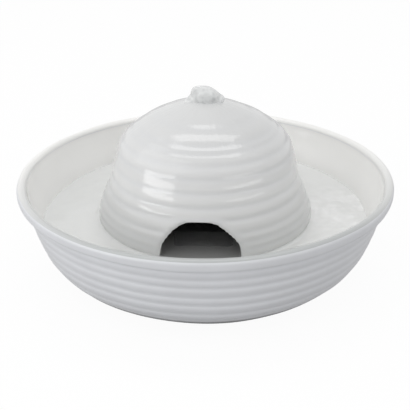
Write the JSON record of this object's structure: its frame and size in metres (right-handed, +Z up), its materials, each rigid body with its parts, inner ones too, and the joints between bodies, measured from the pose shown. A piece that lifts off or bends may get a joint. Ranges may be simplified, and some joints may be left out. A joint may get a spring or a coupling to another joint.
{
  "type": "pet water fountain",
  "caption": "Round ribbed ceramic drinking bowl with a lift-off ribbed dome; a submersible pump under the dome sends water up a riser tube to the outlet in the dome's top.",
  "frame": {"origin": "centre of the underside, on the plane of the table that the pads stand on", "axes": "+Z up; the mousehole in the dome faces -Y; +X to the right seen from the front"},
  "size_m": [0.3, 0.3, 0.14],
  "materials": {
    "white_glaze": "glossy white glaze with throwing ribs",
    "silicone_clear": "translucent silicone",
    "black_rubber": "soft black rubber",
    "clear_hose": "clear flexible hose, slightly cloudy",
    "black_plastic": "moulded black ABS",
    "grey_plastic": "moulded grey plastic",
    "white_plastic": "moulded white nylon",
    "ferrite": "sintered ferrite magnet, dull",
    "lamination": "stacked steel laminations",
    "copper_wire": "enamelled copper winding",
    "shaft_steel": "ground stainless steel",
    "epoxy": "poured black epoxy",
    "charcoal_foam": "open-cell filter foam"
  },
  "bodies": {
    "base": {"bowl": "white_glaze", "bowl_pads": "silicone_clear", "riser_tube": "clear_hose", "chamber_cover": "black_plastic", "chamber_seal": "black_rubber", "intake_grille": "black_plastic", "rotor_shaft": "shaft_steel", "front_bush": "black_rubber", "rear_bush": "black_rubber", "thrust_washers": "white_plastic", "pump_housing": "black_plastic", "stator_core": "lamination", "coil_bobbin": "white_plastic", "coil_winding": "copper_wire", "cable_gland": "black_rubber", "motor_potting": "epoxy", "suction_cups": "black_rubber"},
    "dome": {"dome": "white_glaze", "outlet_grommet": "silicone_clear"},
    "rotor": {"impeller": "white_plastic", "rotor_magnet": "ferrite"},
    "flow_slider": {"flow_slider": "grey_plastic"},
    "filter": {"foam_filter": "charcoal_foam"}
  },
  "joints": [
    {"name": "dome_lift", "type": "slide", "parent": "base", "child": "dome", "axis": [0, 0, 1], "range_m": [0, 0.16]},
    {"name": "rotor_spin", "type": "hinge", "parent": "base", "child": "rotor", "pos_m": [0, 0, 0.0304], "axis": [0, 1, 0], "continuous": true},
    {"name": "flow_slide", "type": "slide", "parent": "base", "child": "flow_slider", "axis": [1, 0, 0], "range_m": [0, 0.0095]},
    {"name": "filter_pull", "type": "slide", "parent": "base", "child": "filter", "axis": [0, -1, 0], "range_m": [0, 0.054]}
  ]
}
